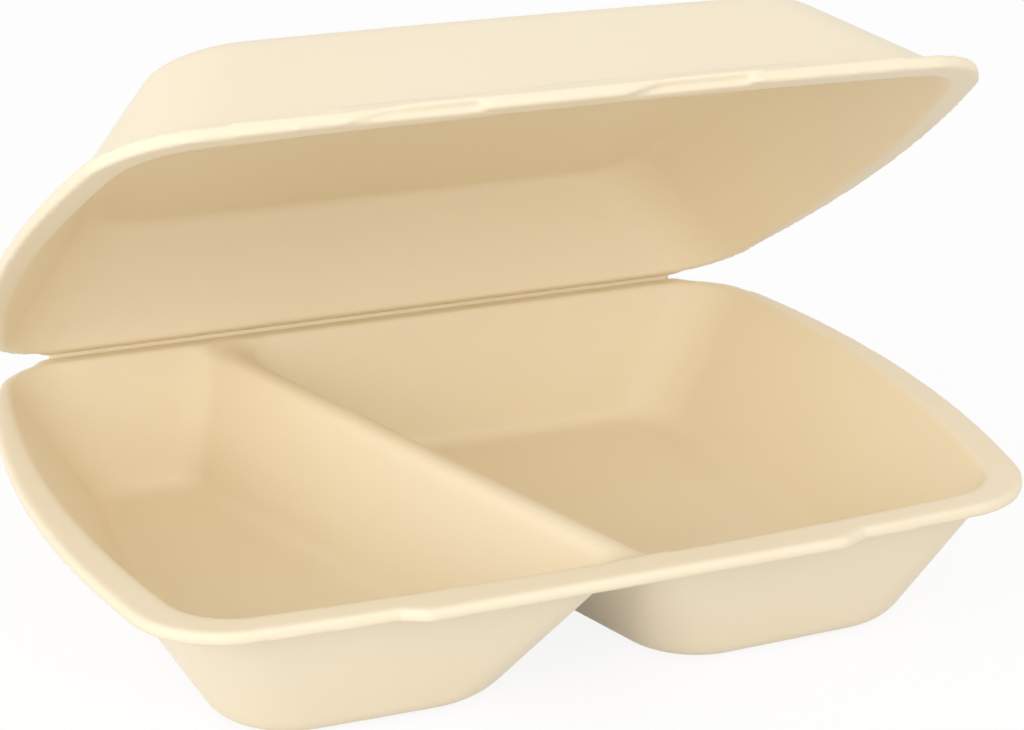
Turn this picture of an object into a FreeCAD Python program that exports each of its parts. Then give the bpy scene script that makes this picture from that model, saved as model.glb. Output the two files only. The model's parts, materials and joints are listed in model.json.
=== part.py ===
import FreeCAD, Part
import math
import os

from FreeCAD import Placement, Rotation, Vector

# Hinged foam food container: a base tray with two compartments and a domed lid, moulded as one sheet.
# Millimetres, +Z up. The shapes are worked out about the hinge, with the tray's rim face at height 0,
# and are then set down so that the origin lies under the middle of the whole container.

os.makedirs("parts", exist_ok=True)
doc = FreeCAD.newDocument("FoamClamshell")

# Driving dimensions
DIMENSIONS = [
    ("hinge_half_length", 94.0, "half the length of the hinge"),
    ("rear_corner_step", 16.0, "how far the rear corners stand out beyond the hinge's ends"),
    ("rear_corner_depth", 20.0, "how far the rear corners stand in front of the hinge"),
    ("front_narrowing", 6.0, "how far the front corners stay inside the rear corners, each side"),
    ("side_bow", 10.0, "how far the rim's sides bow out between their corners"),
    ("rim_depth", 180.0, "rim, from the hinge to the middle of the front edge"),
    ("front_bow", 4.0, "how far the front edge bows forward at its middle"),
    ("front_corner_radius", 24.0, "radius of the rim's front corners"),
    ("rear_corner_radius", 14.0, "radius of the rim's rear corners"),
    ("rim_thickness", 3.2, "thickness of the rim flange"),
    ("wall", 2.4, "thickness of the foam in the pots and the dome"),
    ("flange_width", 7.0, "width of the flat rim round the sides and the front"),
    ("hinge_flange_width", 5.0, "width of the flat rim beside the hinge"),
    ("pot_depth", 39.5, "rim's top face down to the underside of the floors"),
    ("pot_side_lean", 28.5, "how far the pots' side walls lean in, rim to floor"),
    ("pot_rear_lean", 8.0, "how far the pots' rear wall leans in, rim to floor"),
    ("pot_front_lean", 17.0, "how far the pots' front wall leans in, rim to floor"),
    ("floor_side_bow", 3.0, "how far the floors' sides and the roof's sides bow out"),
    ("floor_front_bow", 1.5, "how far the floors' and the roof's front edges bow forward"),
    ("corner_radius", 17.0, "radius of the upright corners of the pots and the dome"),
    ("divider_rear_radius", 9.0, "radius of the pots' rear upright corners beside the divider"),
    ("divider_front_radius", 5.0, "radius of the front ones at the rim"),
    ("divider_front_growth", 13.0, "how much larger the front ones are at the floor"),
    ("floor_radius", 8.0, "radius where the walls turn into a floor or the roof"),
    ("divider_rear_x", -48.0, "middle of the divider's crest at the hinge"),
    ("divider_front_x", 6.5, "middle of the divider's crest at the front edge"),
    ("divider_crest_width", 5.0, "width of the crest between the compartments"),
    ("divider_left_draft", 11.0, "how far the divider's left face leans out, crest to floor"),
    ("divider_right_draft", 19.5, "how far the divider's right face leans out, crest to floor"),
    ("divider_drop", 1.6, "how far the crest lies under the rim's top face"),
    ("deck_step", 0.6, "how far the crest's ends stay inside the pots' walls"),
    ("lid_height", 33.0, "underside of the lid's rim up to the top of its roof, closed"),
    ("lid_side_lean", 33.5, "how far the lid's side walls lean in, rim to roof"),
    ("lid_rear_lean", 8.0, "how far the lid's rear wall leans in, rim to roof"),
    ("lid_front_lean", 29.0, "how far the lid's front wall leans in, rim to roof"),
    ("lid_inset", 1.3, "how far the lid's rim stays inside the tray's rim"),
    ("lock_tab_half_length", 55.0, "half the length of the tray's front locking tab"),
    ("lock_tab_reach", 1.8, "how far the locking tab stands out of the front edge"),
    ("lock_tab_slant", 5.4, "length of the slanting end at each side of the locking tab"),
    ("lock_notch_left_x", -35.5, "middle of the lid lip's left locking notch"),
    ("lock_notch_right_x", 28.0, "middle of the lid lip's right locking notch"),
    ("lock_notch_length", 22.0, "length of each locking notch"),
    ("lock_notch_height", 2.0, "how far each notch reaches up into the lip"),
    ("lock_notch_slant", 9.0, "length of the slanting left end of each locking notch"),
    ("lock_ledge_height", 6.0, "height of the ledge at the foot of the lid's front wall"),
    ("lock_ledge_reach", 1.2, "how far that ledge stands out of the wall"),
    ("seam", 0.3, "clearance between the two rims when the lid is closed"),
    ("hinge_strip_width", 2.0, "width of the thinned strip that each half gives the hinge"),
    ("hinge_strip_thickness", 1.2, "thickness of the foam in that strip"),
    ("crease_width", 0.8, "width of the crease pressed beside each hinge strip"),
    ("crease_depth", 0.5, "depth of that crease"),
    ("lid_open_angle", 33.1, "angle between the tray's rim and the lid's rim, in degrees"),
]

# How many flat strips make up a rounded turn into a floor, and how much of a side a corner may take
FLOOR_TURN_STEPS = 5
CORNER_SHARE = 0.45

# The sizes that shape the tray's pots and the lid's dome between the rim and the floor or roof
POTS = {"height": "pot_depth", "side": "pot_side_lean", "rear": "pot_rear_lean", "front": "pot_front_lean"}
DOME = {"height": "lid_height", "side": "lid_side_lean", "rear": "lid_rear_lean", "front": "lid_front_lean"}

sizes = doc.addObject("Spreadsheet::Sheet", "Sizes")
for row, (alias, value, meaning) in enumerate(DIMENSIONS, start=1):
    sizes.set("A%d" % row, alias)
    sizes.set("B%d" % row, str(value))
    sizes.set("C%d" % row, meaning)
    sizes.setAlias("B%d" % row, alias)
doc.recompute()


def size(alias):
    return float(getattr(sizes, alias))


def leaned(thickness, run, rise):
    """Width, measured level, of a wall of this thickness that leans by run over rise."""
    return thickness * math.hypot(run, rise) / rise


def mix(top, floor, level):
    return top + (floor - top) * level


def feature(kind, name, **properties):
    piece = doc.addObject(kind, name)
    for key, value in properties.items():
        setattr(piece, key, value)
    return piece


def shape_feature(name, shape, height=None):
    """A section outline, lifted to a height given as a formula of the sheet."""
    piece = feature("Part::Feature", name, Shape=shape)
    if height is not None:
        piece.setExpression("Placement.Base.z", height)
    return piece


def finished(piece):
    doc.recompute()
    if "Invalid" in piece.State or "Error" in piece.State:
        raise RuntimeError("%s was not made" % piece.Name)
    if piece.Shape.isNull() or not piece.Shape.isValid():
        raise RuntimeError("%s has a faulty shape" % piece.Name)
    return piece


def rounded_wire(outline, radius_rule):
    """Rounds a flat outline's corners, each by a radius that follows from its place.

    No corner takes more than its share of the shorter side beside it."""
    prism = Part.Face(outline).extrude(Vector(0, 0, 1))
    corners = []
    for vertex in outline.Vertexes:
        beside = [edge.Length for edge in outline.Edges if edge.distToShape(vertex)[0] < 1e-6]
        corners.append((vertex.Point, CORNER_SHARE * min(beside)))
    for point, limit in corners:
        middle = point + Vector(0, 0, 0.5)
        edge = min(prism.Edges, key=lambda candidate: (candidate.CenterOfMass - middle).Length)
        prism = prism.makeFillet(min(radius_rule(point), limit), [edge])
    return min(prism.Faces, key=lambda face: face.CenterOfMass.z).OuterWire


# Half widths of the rim at its rear corners, at its front corners and at its widest

def rear_half_width():
    return size("hinge_half_length") + size("rear_corner_step")


def front_half_width():
    return rear_half_width() - size("front_narrowing")


def widest_half_width():
    return (rear_half_width() + front_half_width()) / 2 + size("side_bow")


# The rim's outline, with its front corners and its cut-back rear corners

def rim_outline(inset):
    depth = size("rim_depth") - inset
    corner_y = -(depth - size("front_bow"))
    hinge_x = size("hinge_half_length") - inset
    rear = Vector(rear_half_width() - inset, -size("rear_corner_depth"), 0)
    front = Vector(front_half_width() - inset, corner_y, 0)
    widest = Vector(widest_half_width() - inset, (rear.y + front.y) / 2, 0)

    def left(point):
        return Vector(-point.x, point.y, point.z)

    hinge_end = Vector(hinge_x, 0, 0)
    return Part.Wire([
        Part.makeLine(left(hinge_end), hinge_end),
        Part.makeLine(hinge_end, rear),
        Part.Arc(rear, widest, front).toShape(),
        Part.Arc(front, Vector(0, -depth, 0), left(front)).toShape(),
        Part.Arc(left(front), left(widest), left(rear)).toShape(),
        Part.makeLine(left(rear), left(hinge_end)),
    ])


def rim_corner_radius(place):
    if place.y < -size("rim_depth") / 2:
        return size("front_corner_radius")
    if place.y < -size("rear_corner_depth") / 2:
        return size("rear_corner_radius")
    return size("hinge_strip_width")


def rim_plate(name, inset, bottom):
    """The flat rim, from a height up, with rounded corners."""
    outline = shape_feature(name + "Outline", rounded_wire(rim_outline(inset), rim_corner_radius), bottom)
    plate = feature("Part::Extrusion", name + "Plate", Base=outline, DirMode="Custom", Dir=Vector(0, 0, 1),
                    Solid=True)
    plate.setExpression("LengthFwd", "Sizes.rim_thickness")
    return plate


# The opening's outline at any level between the rim, 0, and the floors, 1

def opening(form, level, skin, inset):
    """Driving points of the opening, grown by a foam skin and drawn in by an inset."""
    height = size(form["height"])
    flange = size("flange_width")
    floor_half = widest_half_width() - flange - size(form["side"])
    front_corner = size("rim_depth") - size("front_bow") - flange
    side_skin = leaned(skin, size(form["side"]), height) - inset
    rear_skin = leaned(skin, size(form["rear"]), height) - inset
    front_skin = leaned(skin, size(form["front"]), height) - inset
    corner_y = -(front_corner - size(form["front"]) * level) - front_skin
    return {
        "rear_y": -(size("hinge_flange_width") + size(form["rear"]) * level) + rear_skin,
        "corner_y": corner_y,
        "front_y": corner_y - mix(size("front_bow"), size("floor_front_bow"), level),
        "rear_x": mix(rear_half_width() - flange, floor_half, level) + side_skin,
        "widest_x": mix(widest_half_width() - flange, floor_half + size("floor_side_bow"), level) + side_skin,
        "front_x": mix(front_half_width() - flange, floor_half, level) + side_skin,
    }


def basin_outline(form, level, skin, inset):
    """One outline round the whole opening, for the tray's deck and for the lid's dome."""
    at = opening(form, level, skin, inset)
    rear = Vector(at["rear_x"], at["rear_y"], 0)
    front = Vector(at["front_x"], at["corner_y"], 0)
    widest_y = (rear.y + front.y) / 2
    return Part.Wire([
        Part.makeLine(Vector(-rear.x, rear.y, 0), rear),
        Part.Arc(rear, Vector(at["widest_x"], widest_y, 0), front).toShape(),
        Part.Arc(front, Vector(0, at["front_y"], 0), Vector(-front.x, front.y, 0)).toShape(),
        Part.Arc(Vector(-front.x, front.y, 0), Vector(-at["widest_x"], widest_y, 0),
                 Vector(-rear.x, rear.y, 0)).toShape(),
    ])


def pot_outline(side, level, skin, inset):
    """One compartment's outline: side is -1 for the left one and 1 for the right one."""
    at = opening(POTS, level, skin, inset)
    draft = size("divider_left_draft") if side < 0 else size("divider_right_draft")
    lean = leaned(skin, draft, size("pot_depth"))
    slope = (size("divider_rear_x") - size("divider_front_x")) / size("rim_depth")
    across = math.hypot(1, slope)
    half_gap = (size("divider_crest_width") / 2 + draft * level - lean + inset) * across
    start_x = size("divider_rear_x") + side * half_gap

    bow = at["corner_y"] - at["front_y"]
    radius = (at["front_x"] ** 2 + bow ** 2) / (2 * bow)
    centre_y = at["front_y"] + radius
    # The divider's face meets the front arc where x = start_x + slope * y lies on that circle
    half_b = start_x * slope - centre_y
    rest = start_x ** 2 + centre_y ** 2 - radius ** 2
    meet_y = (-half_b - math.sqrt(half_b ** 2 - across ** 2 * rest)) / across ** 2
    meet = Vector(start_x + slope * meet_y, meet_y, 0)
    rear_meet = Vector(start_x + slope * at["rear_y"], at["rear_y"], 0)

    rear = Vector(side * at["rear_x"], at["rear_y"], 0)
    front = Vector(side * at["front_x"], at["corner_y"], 0)
    widest = Vector(side * at["widest_x"], (rear.y + front.y) / 2, 0)
    middle_x = (front.x + meet.x) / 2
    middle = Vector(middle_x, centre_y - math.sqrt(radius ** 2 - middle_x ** 2), 0)
    return Part.Wire([
        Part.makeLine(rear_meet, rear),
        Part.Arc(rear, widest, front).toShape(),
        Part.Arc(front, middle, meet).toShape(),
        Part.makeLine(meet, rear_meet),
    ])


def corner_rule(skin, level):
    """Radius of an upright corner: small beside the divider, large at the outer corners."""
    divider_reach = max(abs(size("divider_rear_x")), abs(size("divider_front_x"))) + size("divider_right_draft")

    def radius(place):
        if abs(place.x) > divider_reach:
            return size("corner_radius") + skin
        if place.y < -size("rim_depth") / 2:
            return size("divider_front_radius") + size("divider_front_growth") * level + skin
        return size("divider_rear_radius") + skin
    return radius


def tapered(name, form, outline, skin, top_height, bottom_height, reach, has_floor=True):
    """A block from the rim's opening down, or up, to a floor, with a rounded turn into the floor.

    reach is how much of the height between the rim and the outer floor the block covers."""
    turn = size("floor_radius") + skin if has_floor else 0
    depth = size(form["height"])
    wall_angle = math.pi / 2 - math.atan2(size(form["side"]), depth)
    sections = [(0.0, 0.0)]
    if turn:
        for step in range(FLOOR_TURN_STEPS, -1, -1):
            angle = wall_angle * step / FLOOR_TURN_STEPS
            rise = turn * (1 - math.cos(angle))
            inset = turn * (math.tan(wall_angle / 2) - math.sin(angle)) + rise / math.tan(wall_angle)
            sections.append((reach - rise / depth, inset))
    else:
        sections.append((reach, 0.0))
    outlines = []
    for number, (level, inset) in enumerate(sections):
        shape = rounded_wire(outline(level, skin, inset), corner_rule(skin - inset, level))
        share = level / reach
        height = "(%s) + (%s - (%s)) * %.9f" % (top_height, bottom_height, top_height, share)
        outlines.append(shape_feature("%sSection%d" % (name, number), shape, height))
    doc.recompute()
    outlines.sort(key=lambda piece: piece.Placement.Base.z)
    return finished(feature("Part::Loft", name, Sections=outlines, Solid=True, Ruled=True))


wall = size("wall")
pot_depth = size("pot_depth")
inner_reach = (pot_depth - wall) / pot_depth

# The tray: each compartment's outside and inside

outsides = []
insides = []
for side, word in ((-1, "Left"), (1, "Right")):
    def outline(level, skin, inset, side=side):
        return pot_outline(side, level, skin, inset)

    outsides.append(tapered(word + "Outside", POTS, outline, wall, "0", "-Sizes.pot_depth", 1))
    insides.append(tapered(word + "Inside", POTS, outline, 0, "0", "-(Sizes.pot_depth - Sizes.wall)",
                           inner_reach))

# The crest of the divider, and the shallow space over it



def tray_basin(level, skin, inset):
    return basin_outline(POTS, level, skin, inset)


deck_reach = (size("divider_drop") + wall) / pot_depth
deck = tapered("Deck", POTS, tray_basin, wall - size("deck_step"), "0", "-(Sizes.divider_drop + Sizes.wall)",
               deck_reach, has_floor=False)
crest_reach = size("divider_drop") / pot_depth
over_crest = tapered("OverCrest", POTS, tray_basin, -size("deck_step"), "0", "-Sizes.divider_drop",
                     crest_reach, has_floor=False)

tray_rim = rim_plate("TrayRim", 0, "-Sizes.rim_thickness")


def front_tab():
    """The locking tab: the front edge's own arc moved forward, with slanting ends."""
    half = size("lock_tab_half_length")
    reach = size("lock_tab_reach")
    depth = size("rim_depth")
    ends = size("lock_tab_slant")
    back = -(depth - size("flange_width") / 2)
    corners = [Vector(-half, back, 0), Vector(-half, -depth + reach / 2, 0), Vector(-half + ends, -depth - reach, 0),
               Vector(half - ends, -depth - reach, 0), Vector(half, -depth + reach / 2, 0), Vector(half, back, 0)]
    return Part.makePolygon(corners + corners[:1])


tab_outline = shape_feature("TabOutline", front_tab(), "-Sizes.rim_thickness")
tab = feature("Part::Extrusion", "FrontTab", Base=tab_outline, DirMode="Custom", Dir=Vector(0, 0, 1), Solid=True)
tab.setExpression("LengthFwd", "Sizes.rim_thickness")


def hinge_cuts(name, face_height, plate_side):
    """Thins the strip beside the hinge, from the outside, and presses a crease in the inside face.

    plate_side is -1 where the plate lies under the face at face_height, and 1 where it lies over it."""
    strip = size("hinge_strip_width")
    thin = size("rim_thickness") - size("hinge_strip_thickness")
    width = 2 * widest_half_width()
    far = face_height + plate_side * size("rim_thickness")
    low = min(far, far - plate_side * thin)
    under = Part.makeBox(width, strip, thin, Vector(-width / 2, -strip, low))
    crease_low = min(face_height, face_height + plate_side * size("crease_depth"))
    crease_y = -strip - size("crease_width")
    crease = Part.makeBox(width, size("crease_width"), size("crease_depth"),
                          Vector(-width / 2, crease_y, crease_low))
    return shape_feature(name, under.fuse(crease))


tray_full = feature("Part::MultiFuse", "TrayFull", Shapes=[tray_rim, tab, deck] + outsides)
tray_spaces = feature("Part::MultiFuse", "TraySpaces",
                      Shapes=insides + [over_crest, hinge_cuts("TrayHingeCuts", 0, -1)])
base_tray = finished(feature("Part::Cut", "base_tray", Base=tray_full, Tool=tray_spaces))

# The lid, closed over the tray: its rim's underside lies one seam above the tray's rim face

lid_rim = rim_plate("LidRim", size("lid_inset"), "Sizes.seam")
lid_height = size("lid_height")


def lid_basin(level, skin, inset):
    return basin_outline(DOME, level, skin, inset)


dome = tapered("DomeOutside", DOME, lid_basin, wall, "Sizes.seam", "Sizes.seam + Sizes.lid_height", 1)
dome_space = tapered("DomeInside", DOME, lid_basin, 0, "Sizes.seam", "Sizes.seam + Sizes.lid_height - Sizes.wall",
                     (lid_height - wall) / lid_height)

# The ledge at the foot of the lid's front wall

ledge_block = tapered("LedgeBlock", DOME, lid_basin, wall + size("lock_ledge_reach"), "Sizes.seam",
                      "Sizes.seam + Sizes.lock_ledge_height", size("lock_ledge_height") / lid_height,
                      has_floor=False)
ledge_half = size("lock_tab_half_length")
ledge_reach = size("rim_depth") / 2
ledge_box = feature("Part::Box", "LedgeBox", Length=2 * ledge_half, Width=ledge_reach)
ledge_box.setExpression("Height", "Sizes.lock_ledge_height + Sizes.seam")
ledge_box.Placement = Placement(Vector(-ledge_half, -size("rim_depth"), 0), Rotation())
ledge = feature("Part::Common", "FrontLedge", Base=ledge_block, Tool=ledge_box)


def notch_outline(middle):
    """The front view of one locking notch, with its slanting left end."""
    half = size("lock_notch_length") / 2
    low = size("seam")
    high = low + size("lock_notch_height")
    front_y = -size("rim_depth") - size("flange_width") / 2
    corners = [Vector(middle - half - size("lock_notch_slant"), front_y, low), Vector(middle - half, front_y, high),
               Vector(middle + half, front_y, high), Vector(middle + half, front_y, low)]
    return Part.makePolygon(corners + corners[:1])


notches = []
for word in ("left", "right"):
    outline = shape_feature(word.title() + "NotchOutline", notch_outline(size("lock_notch_%s_x" % word)))
    notch = feature("Part::Extrusion", word.title() + "Notch", Base=outline, DirMode="Custom", Dir=Vector(0, 1, 0),
                    Solid=True)
    notch.setExpression("LengthFwd", "Sizes.flange_width")
    notches.append(notch)

lid_full = feature("Part::MultiFuse", "LidFull", Shapes=[lid_rim, dome, ledge])
lid_spaces = feature("Part::MultiFuse", "LidSpaces",
                     Shapes=[dome_space, hinge_cuts("LidHingeCuts", size("seam"), 1)] + notches)
lid = finished(feature("Part::Cut", "lid", Base=lid_full, Tool=lid_spaces))

# Opening the lid about the hinge, then setting both halves down on the ground plane

hinge_axis = Vector(0, size("seam") / 2, size("seam") / 2)
opened = Placement(Vector(), Rotation(Vector(1, 0, 0), -size("lid_open_angle")), hinge_axis)
lid_box = lid.Shape.transformGeometry(opened.toMatrix()).optimalBoundingBox()
tray_box = base_tray.Shape.optimalBoundingBox()
middle_y = (min(tray_box.YMin, lid_box.YMin) + max(tray_box.YMax, lid_box.YMax)) / 2
set_down = Placement(Vector(0, -middle_y, size("pot_depth")), Rotation())
base_tray.Placement = set_down
lid.Placement = set_down.multiply(opened)
doc.recompute()

for node in (base_tray, lid):
    node.Label = node.Name
    solids = finished(node).Shape.Solids
    if len(solids) != 1:
        raise RuntimeError("%s is %d solids" % (node.Label, len(solids)))
    node.Shape.exportStep("parts/%s.step" % node.Label)
    box = node.Shape.optimalBoundingBox()
    print("%s volume %.0f cubic mm, x %.2f to %.2f, y %.2f to %.2f, z %.2f to %.2f"
          % (node.Label, node.Shape.Volume, box.XMin, box.XMax, box.YMin, box.YMax, box.ZMin, box.ZMax))
place = set_down.multVec(hinge_axis)
print("hinge axis at y %.3f, z %.3f" % (place.y, place.z))
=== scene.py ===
import json
import math

import bmesh
import bpy
from mathutils import Matrix, Vector


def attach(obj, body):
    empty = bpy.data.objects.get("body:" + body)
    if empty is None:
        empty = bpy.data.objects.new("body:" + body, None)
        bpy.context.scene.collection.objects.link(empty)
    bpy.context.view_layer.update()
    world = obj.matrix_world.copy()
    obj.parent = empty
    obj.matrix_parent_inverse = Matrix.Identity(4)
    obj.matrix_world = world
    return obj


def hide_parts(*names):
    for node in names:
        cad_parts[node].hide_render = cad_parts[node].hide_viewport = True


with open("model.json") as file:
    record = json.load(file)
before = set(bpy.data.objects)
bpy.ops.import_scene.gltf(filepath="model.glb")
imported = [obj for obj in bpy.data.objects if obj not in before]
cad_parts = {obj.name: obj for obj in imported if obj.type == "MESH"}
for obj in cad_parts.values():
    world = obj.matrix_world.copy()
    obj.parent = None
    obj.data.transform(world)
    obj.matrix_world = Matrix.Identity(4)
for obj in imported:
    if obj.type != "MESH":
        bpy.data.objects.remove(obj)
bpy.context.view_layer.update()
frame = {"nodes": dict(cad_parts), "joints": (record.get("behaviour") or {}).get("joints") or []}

MM = 0.001

# The photograph's view
SENSOR_WIDTH_MM = 36.0
LENS_MM = 86.6
CAMERA_PLACE = Vector((-0.2096, -0.5326, 0.2679))
CAMERA_TURN = math.radians(22.13)
CAMERA_DIP = math.radians(20.43)
CAMERA_ROLL = math.radians(0.11)

# The moulded foam
SAME_POINT = 0.005 * MM
SKIN_GRAIN = 0.75 * MM
SKIN_SOFTENING = 6
SMOOTHING_SHARE = 0.5
SKIN_KEPT_SHARE = 0.30

# The divider's crest between the two flat rims, and how far its soft rounding reaches
CREST_REAR = Vector((-44.3, 74.5, 38.0)) * MM
CREST_FRONT = Vector((1.8, -77.5, 38.0)) * MM
CREST_REACH = 9.0 * MM
CREST_ROUNDING = 45

# The soft bead along the hinge line
HINGE_PLACE = Vector(frame["joints"][0]["pos_m"])
HINGE_HALF_LENGTH = 91.5 * MM
HINGE_BEAD_RADIUS = 1.15 * MM
HINGE_BEAD_SIDES = 24
HINGE_END_ROUNDING = 0.5 * HINGE_BEAD_RADIUS

# Colours as linear light
FOAM_CREAM = (0.925, 0.825, 0.635)
FOAM_WARM = (0.905, 0.790, 0.585)
FLOOR_WHITE = (0.75, 0.75, 0.75)
BACKDROP_WHITE = (1.0, 1.0, 1.0)
LAMP_WARM_WHITE = (1.0, 0.975, 0.93)

# The foam's surface
TRAY_CLOUD_SCALE = 14.0
LID_CLOUD_SCALE = 11.0
BEAD_SCALE = 700.0
ROUGHNESS_RANGE = (0.34, 0.50)
FOAM_IOR = 1.45
FOAM_SPECULAR = 0.32
BEAD_BUMP_STRENGTH = 0.12
BEAD_BUMP_HEIGHT = 0.1 * MM

# The white surroundings
FLOOR_HALF_WIDTH = 6.0
FLOOR_GLOW = 1.05
FLOOR_GLOW_SHARE = 0.84
SKY_STRENGTH_ON_OBJECT = 0.72
SKY_STRENGTH_SEEN = 1.0

# Each lamp's name, place, aim, width in metres and power in watts
LAMPS = [
    ("key", (-1.0, -0.8, 0.8), (0, 0, 0.06), 0.8, 2.4),
    ("front_fill", (0.0, -1.5, 0.78), (0, 0.03, 0.08), 1.4, 8.2),
    ("left_fill", (-1.25, -0.30, 0.36), (0.05, 0, 0.07), 0.7, 4.6),
]


# Shared shader group for the foam's colour and its fine pressed surface

def foam_group():
    group = bpy.data.node_groups.new("foam_surface", "ShaderNodeTree")
    for name, way, kind in (("Place", "INPUT", "Vector"), ("Cream", "INPUT", "Color"), ("Warm", "INPUT", "Color"),
                            ("Cloud Scale", "INPUT", "Float"), ("Bead Scale", "INPUT", "Float"),
                            ("Color", "OUTPUT", "Color"), ("Roughness", "OUTPUT", "Float"),
                            ("Height", "OUTPUT", "Float")):
        group.interface.new_socket(name=name, in_out=way, socket_type="NodeSocket" + kind)
    nodes = group.nodes
    links = group.links
    entry = nodes.new("NodeGroupInput")
    leave = nodes.new("NodeGroupOutput")

    clouds = nodes.new("ShaderNodeTexNoise")
    clouds.inputs["Detail"].default_value = 3.0
    links.new(entry.outputs["Place"], clouds.inputs["Vector"])
    links.new(entry.outputs["Cloud Scale"], clouds.inputs["Scale"])
    tint = nodes.new("ShaderNodeMix")
    tint.data_type = "RGBA"
    links.new(clouds.outputs["Fac"], tint.inputs["Factor"])
    links.new(entry.outputs["Cream"], tint.inputs["A"])
    links.new(entry.outputs["Warm"], tint.inputs["B"])
    links.new(tint.outputs["Result"], leave.inputs["Color"])

    beads = nodes.new("ShaderNodeTexVoronoi")
    links.new(entry.outputs["Place"], beads.inputs["Vector"])
    links.new(entry.outputs["Bead Scale"], beads.inputs["Scale"])
    links.new(beads.outputs["Distance"], leave.inputs["Height"])

    gloss = nodes.new("ShaderNodeMapRange")
    gloss.inputs["To Min"].default_value, gloss.inputs["To Max"].default_value = ROUGHNESS_RANGE
    links.new(clouds.outputs["Fac"], gloss.inputs["Value"])
    links.new(gloss.outputs["Result"], leave.inputs["Roughness"])
    return group


def foam_material(name, group, cloud_scale):
    material = bpy.data.materials.new(name)
    material.use_nodes = True
    nodes = material.node_tree.nodes
    links = material.node_tree.links
    shader = nodes["Principled BSDF"]
    shader.inputs["IOR"].default_value = FOAM_IOR
    shader.inputs["Specular IOR Level"].default_value = FOAM_SPECULAR
    place = nodes.new("ShaderNodeTexCoord")
    surface = nodes.new("ShaderNodeGroup")
    surface.node_tree = group
    surface.inputs["Cream"].default_value = (*FOAM_CREAM, 1.0)
    surface.inputs["Warm"].default_value = (*FOAM_WARM, 1.0)
    surface.inputs["Cloud Scale"].default_value = cloud_scale
    surface.inputs["Bead Scale"].default_value = BEAD_SCALE
    bump = nodes.new("ShaderNodeBump")
    bump.inputs["Strength"].default_value = BEAD_BUMP_STRENGTH
    bump.inputs["Distance"].default_value = BEAD_BUMP_HEIGHT
    links.new(place.outputs["Object"], surface.inputs["Place"])
    links.new(surface.outputs["Color"], shader.inputs["Base Color"])
    links.new(surface.outputs["Roughness"], shader.inputs["Roughness"])
    links.new(surface.outputs["Height"], bump.inputs["Height"])
    links.new(bump.outputs["Normal"], shader.inputs["Normal"])
    return material


# Each half of the container: the solid's own form with its edges softened as moulded foam

def settle(piece):
    """Makes a piece's modifiers part of its mesh."""
    bpy.context.view_layer.update()
    finished = bpy.data.meshes.new_from_object(piece.evaluated_get(bpy.context.evaluated_depsgraph_get()))
    piece.modifiers.clear()
    piece.data = finished


def along_crest(place):
    """True near the line of the divider's crest."""
    run = CREST_FRONT - CREST_REAR
    share = max(0.0, min(1.0, (place - CREST_REAR).dot(run) / run.length_squared))
    return (place - CREST_REAR - share * run).length < CREST_REACH


def shade_smooth(mesh):
    mesh.polygons.foreach_set("use_smooth", [True] * len(mesh.polygons))


def moulded_skin(node, name, body, material, soft_place=None):
    """Copies a solid's mesh, softens it, and rounds it further wherever soft_place is true."""
    skin = bpy.data.objects.new(name, frame["nodes"][node].data.copy())
    bpy.context.scene.collection.objects.link(skin)
    shell = bmesh.new()
    shell.from_mesh(skin.data)
    bmesh.ops.remove_doubles(shell, verts=shell.verts, dist=SAME_POINT)
    shell.to_mesh(skin.data)
    shell.free()
    remesh = skin.modifiers.new("grain", "REMESH")
    remesh.mode = "VOXEL"
    remesh.voxel_size = SKIN_GRAIN
    remesh.use_smooth_shade = True
    soften = skin.modifiers.new("soften", "SMOOTH")
    soften.factor = SMOOTHING_SHARE
    soften.iterations = SKIN_SOFTENING
    settle(skin)
    if soft_place:
        shell = bmesh.new()
        shell.from_mesh(skin.data)
        soft = [vert for vert in shell.verts if soft_place(vert.co)]
        for _ in range(CREST_ROUNDING):
            bmesh.ops.smooth_vert(shell, verts=soft, factor=SMOOTHING_SHARE,
                                  use_axis_x=True, use_axis_y=True, use_axis_z=True)
        shell.to_mesh(skin.data)
        shell.free()
    thin = skin.modifiers.new("thin", "DECIMATE")
    thin.ratio = SKIN_KEPT_SHARE
    settle(skin)
    skin.data.materials.clear()
    skin.data.materials.append(material)
    shade_smooth(skin.data)
    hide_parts(node)
    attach(skin, body)


# The folded strip of the hinge, a soft bead of foam lying along the hinge line

def hinge_bead(material):
    bead = bmesh.new()
    bmesh.ops.create_cone(bead, cap_ends=True, segments=HINGE_BEAD_SIDES, radius1=HINGE_BEAD_RADIUS,
                          radius2=HINGE_BEAD_RADIUS, depth=2 * HINGE_HALF_LENGTH)
    ends = [edge for edge in bead.edges if len(edge.link_faces) == 2
            and abs(edge.verts[0].co.z - edge.verts[1].co.z) < 0.01 * MM]
    bmesh.ops.bevel(bead, geom=ends, offset=HINGE_END_ROUNDING, segments=3, profile=0.5,
                    affect="EDGES", material=-1)
    bmesh.ops.rotate(bead, verts=bead.verts, cent=(0, 0, 0), matrix=Matrix.Rotation(math.pi / 2, 3, "Y"))
    bmesh.ops.translate(bead, verts=bead.verts, vec=HINGE_PLACE)
    mesh = bpy.data.meshes.new("hinge_fold")
    bead.to_mesh(mesh)
    bead.free()
    shade_smooth(mesh)
    mesh.materials.append(material)
    piece = bpy.data.objects.new("hinge_fold", mesh)
    bpy.context.scene.collection.objects.link(piece)
    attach(piece, "base")


# The floor, the sky and the lamps

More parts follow.
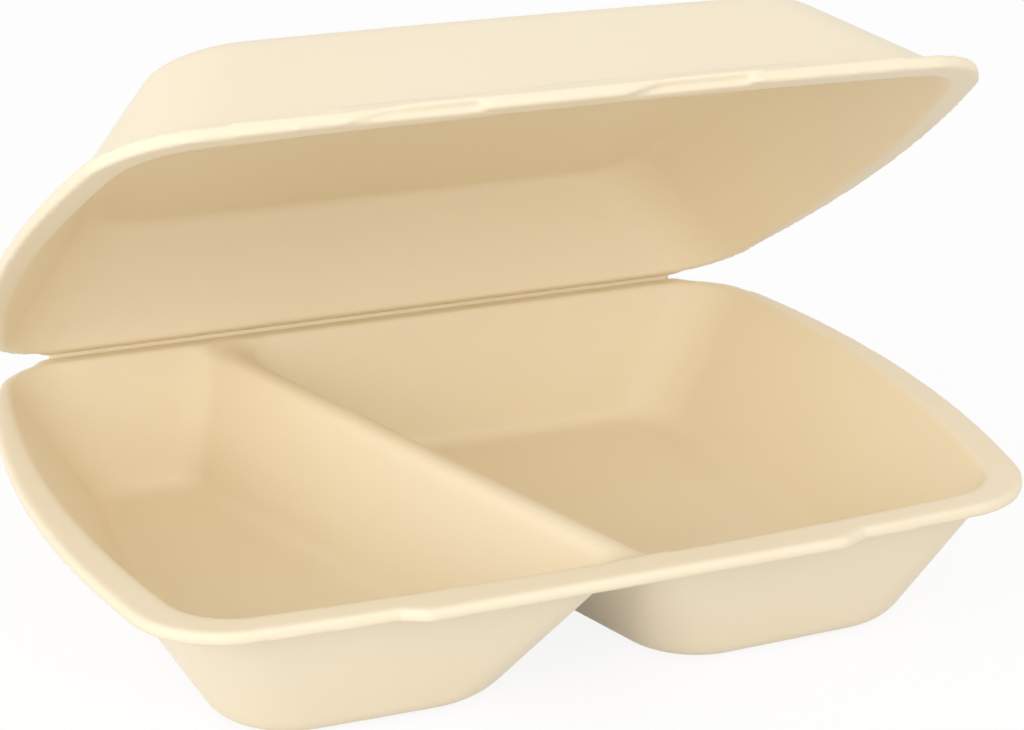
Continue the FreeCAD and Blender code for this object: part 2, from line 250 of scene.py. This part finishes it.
def direct_rays(nodes, links):
    """A mask of the rays that come from the camera, from a reflection or through a clear surface."""
    path = nodes.new("ShaderNodeLightPath")
    shiny = nodes.new("ShaderNodeMath")
    shiny.operation = "MAXIMUM"
    links.new(path.outputs["Is Camera Ray"], shiny.inputs[0])
    links.new(path.outputs["Is Glossy Ray"], shiny.inputs[1])
    clear = nodes.new("ShaderNodeMath")
    clear.operation = "MAXIMUM"
    links.new(shiny.outputs["Value"], clear.inputs[0])
    links.new(path.outputs["Is Transmission Ray"], clear.inputs[1])
    return clear.outputs["Value"]


def white_floor():
    """A pale matte floor that mostly glows white where it is seen, and still takes the object's shadow."""
    material = bpy.data.materials.new("pale_floor")
    material.use_nodes = True
    nodes = material.node_tree.nodes
    links = material.node_tree.links
    matte = nodes["Principled BSDF"]
    matte.inputs["Base Color"].default_value = (*FLOOR_WHITE, 1.0)
    matte.inputs["Roughness"].default_value = 0.9
    matte.inputs["Specular IOR Level"].default_value = 0.1
    glow = nodes.new("ShaderNodeEmission")
    glow.inputs["Color"].default_value = (*BACKDROP_WHITE, 1.0)
    glow.inputs["Strength"].default_value = FLOOR_GLOW
    blend = nodes.new("ShaderNodeMixShader")
    share = nodes.new("ShaderNodeMath")
    share.operation = "MULTIPLY"
    share.inputs[1].default_value = FLOOR_GLOW_SHARE
    links.new(direct_rays(nodes, links), share.inputs[0])
    links.new(share.outputs["Value"], blend.inputs["Fac"])
    links.new(matte.outputs["BSDF"], blend.inputs[1])
    links.new(glow.outputs["Emission"], blend.inputs[2])
    links.new(blend.outputs["Shader"], nodes["Material Output"].inputs["Surface"])
    sheet = bmesh.new()
    bmesh.ops.create_grid(sheet, x_segments=1, y_segments=1, size=FLOOR_HALF_WIDTH)
    mesh = bpy.data.meshes.new("floor")
    sheet.to_mesh(mesh)
    sheet.free()
    mesh.materials.append(material)
    floor = bpy.data.objects.new("floor", mesh)
    bpy.context.scene.collection.objects.link(floor)


def sky():
    world = bpy.data.worlds.new("soft_sky")
    bpy.context.scene.world = world
    world.use_nodes = True
    nodes = world.node_tree.nodes
    links = world.node_tree.links
    background = nodes["Background"]
    strength = nodes.new("ShaderNodeMapRange")
    strength.inputs["To Min"].default_value = SKY_STRENGTH_ON_OBJECT
    strength.inputs["To Max"].default_value = SKY_STRENGTH_SEEN
    links.new(direct_rays(nodes, links), strength.inputs["Value"])
    links.new(strength.outputs["Result"], background.inputs["Strength"])
    background.inputs["Color"].default_value = (*BACKDROP_WHITE, 1.0)


def lamp(name, place, aim, width, power):
    light = bpy.data.lights.new(name, "AREA")
    light.size = width
    light.energy = power
    light.color = LAMP_WARM_WHITE
    piece = bpy.data.objects.new(name, light)
    bpy.context.scene.collection.objects.link(piece)
    piece.location = place
    piece.rotation_euler = (Vector(aim) - Vector(place)).to_track_quat("-Z", "Y").to_euler()


def camera():
    ahead = Vector((math.sin(CAMERA_TURN) * math.cos(CAMERA_DIP), math.cos(CAMERA_TURN) * math.cos(CAMERA_DIP),
                    -math.sin(CAMERA_DIP)))
    level = Vector((math.cos(CAMERA_TURN), -math.sin(CAMERA_TURN), 0.0))
    upright = level.cross(ahead)
    right = math.cos(CAMERA_ROLL) * level + math.sin(CAMERA_ROLL) * upright
    up = math.cos(CAMERA_ROLL) * upright - math.sin(CAMERA_ROLL) * level
    lens = bpy.data.cameras.new("camera")
    lens.sensor_width = SENSOR_WIDTH_MM
    lens.lens = LENS_MM
    piece = bpy.data.objects.new("camera", lens)
    bpy.context.scene.collection.objects.link(piece)
    turn = Matrix((right, up, -ahead)).transposed()
    piece.matrix_world = Matrix.Translation(CAMERA_PLACE) @ turn.to_4x4()
    bpy.context.scene.camera = piece


bpy.context.scene.view_settings.view_transform = "Standard"
surface = foam_group()
tray_foam = foam_material("tray_foam", surface, TRAY_CLOUD_SCALE)
lid_foam = foam_material("lid_foam", surface, LID_CLOUD_SCALE)
moulded_skin("base_tray", "tray_skin", "base", tray_foam, along_crest)
moulded_skin("lid", "lid_skin", "cover", lid_foam)
hinge_bead(tray_foam)
white_floor()
sky()
for settings in LAMPS:
    lamp(*settings)
camera()
